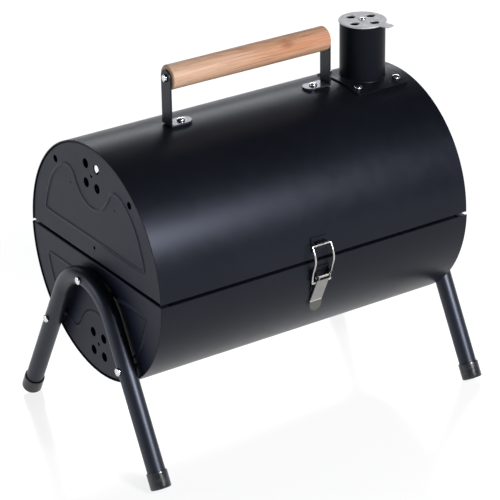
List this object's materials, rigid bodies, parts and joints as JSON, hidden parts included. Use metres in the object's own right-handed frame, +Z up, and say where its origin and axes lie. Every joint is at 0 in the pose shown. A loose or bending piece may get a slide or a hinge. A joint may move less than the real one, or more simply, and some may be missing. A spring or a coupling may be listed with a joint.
{
  "type": "tabletop barrel charcoal grill",
  "caption": "Portable horizontal barrel charcoal grill: hinged lid with wooden handle and damped chimney, toggle latch, grate and tray inside, bent tube legs.",
  "frame": {"origin": "ground point under the middle of the footprint: bottom centre of the bounding box", "axes": "+X along the barrel towards the chimney end, +Y towards the hinges at the back, +Z up; the latch faces -Y"},
  "size_m": [0.4242, 0.2828, 0.3932],
  "materials": {
    "black_coat": "satin black heat-resistant coating",
    "plate_coat": "satin dark slate coating",
    "foot_black": "glossy black moulded cap",
    "bright_screw": "bright plated",
    "zinc_sheet": "galvanised sheet",
    "stainless": "polished stainless",
    "wood": "turned and lightly oiled",
    "chromed_wire": "plated wire"
  },
  "bodies": {
    "base": {"base_shell": "black_coat", "leg_frame_left": "black_coat", "leg_frame_right": "black_coat", "latch_bracket": "black_coat", "base_end_plate_left": "plate_coat", "base_end_plate_right": "plate_coat", "grate_support_left": "plate_coat", "grate_support_right": "plate_coat", "foot_cap_left_front": "foot_black", "foot_cap_left_back": "foot_black", "foot_cap_right_front": "foot_black", "foot_cap_right_back": "foot_black", "leg_bolt_left_top": "bright_screw", "leg_bolt_left_front": "bright_screw", "leg_bolt_left_back": "bright_screw", "leg_bolt_right_top": "bright_screw", "leg_bolt_right_front": "bright_screw", "leg_bolt_right_back": "bright_screw", "hinge_leaf_lower_left": "zinc_sheet", "hinge_leaf_lower_right": "zinc_sheet", "hinge_pin_left": "zinc_sheet", "hinge_pin_right": "zinc_sheet", "latch_pivot_pin": "stainless"},
    "lid": {"lid_shell": "black_coat", "lid_end_plate_left": "plate_coat", "lid_end_plate_right": "plate_coat", "handle_grip": "wood", "handle_strap_left": "black_coat", "handle_strap_right": "black_coat", "grip_screw_left": "bright_screw", "grip_screw_right": "bright_screw", "strap_screw_left": "bright_screw", "strap_screw_right": "bright_screw", "chimney_tube": "black_coat", "chimney_base_plate": "black_coat", "chimney_top_plate": "black_coat", "chimney_screw_front_left": "bright_screw", "chimney_screw_front_right": "bright_screw", "chimney_screw_back_left": "bright_screw", "chimney_screw_back_right": "bright_screw", "damper_screw": "bright_screw", "hinge_leaf_upper_left": "zinc_sheet", "hinge_leaf_upper_right": "zinc_sheet", "latch_strike": "black_coat"},
    "damper": {"damper_disc": "zinc_sheet"},
    "latch_lever": {"latch_lever": "stainless"},
    "latch_bail": {"latch_bail": "stainless"},
    "grate": {"cooking_grate": "chromed_wire"},
    "tray": {"charcoal_tray": "plate_coat"}
  },
  "joints": [
    {"name": "lid_hinge", "type": "hinge", "parent": "base", "child": "lid", "pos_m": [0, 0.131, 0.202], "axis": [-1, 0, 0], "range_deg": [0, 100]},
    {"name": "damper_spin", "type": "hinge", "parent": "lid", "child": "damper", "pos_m": [0.146, 0, 0.3891], "axis": [0, 0, 1], "continuous": true},
    {"name": "lever_pivot", "type": "hinge", "parent": "base", "child": "latch_lever", "pos_m": [0, -0.133, 0.185], "axis": [-1, 0, 0], "range_deg": [0, 110]},
    {"name": "bail_pivot", "type": "hinge", "parent": "latch_lever", "child": "latch_bail", "pos_m": [0, -0.1293, 0.1776], "axis": [-1, 0, 0], "range_deg": [-137.5, 0]},
    {"name": "grate_lift", "type": "slide", "parent": "base", "child": "grate", "axis": [0, 0, 1], "range_m": [0, 0.05]},
    {"name": "tray_lift", "type": "slide", "parent": "base", "child": "tray", "axis": [0, 0, 1], "range_m": [0, 0.038]}
  ],
  "couplings": [
    {"joint": "bail_pivot", "follows": "lever_pivot", "ratio": -1.25}
  ]
}
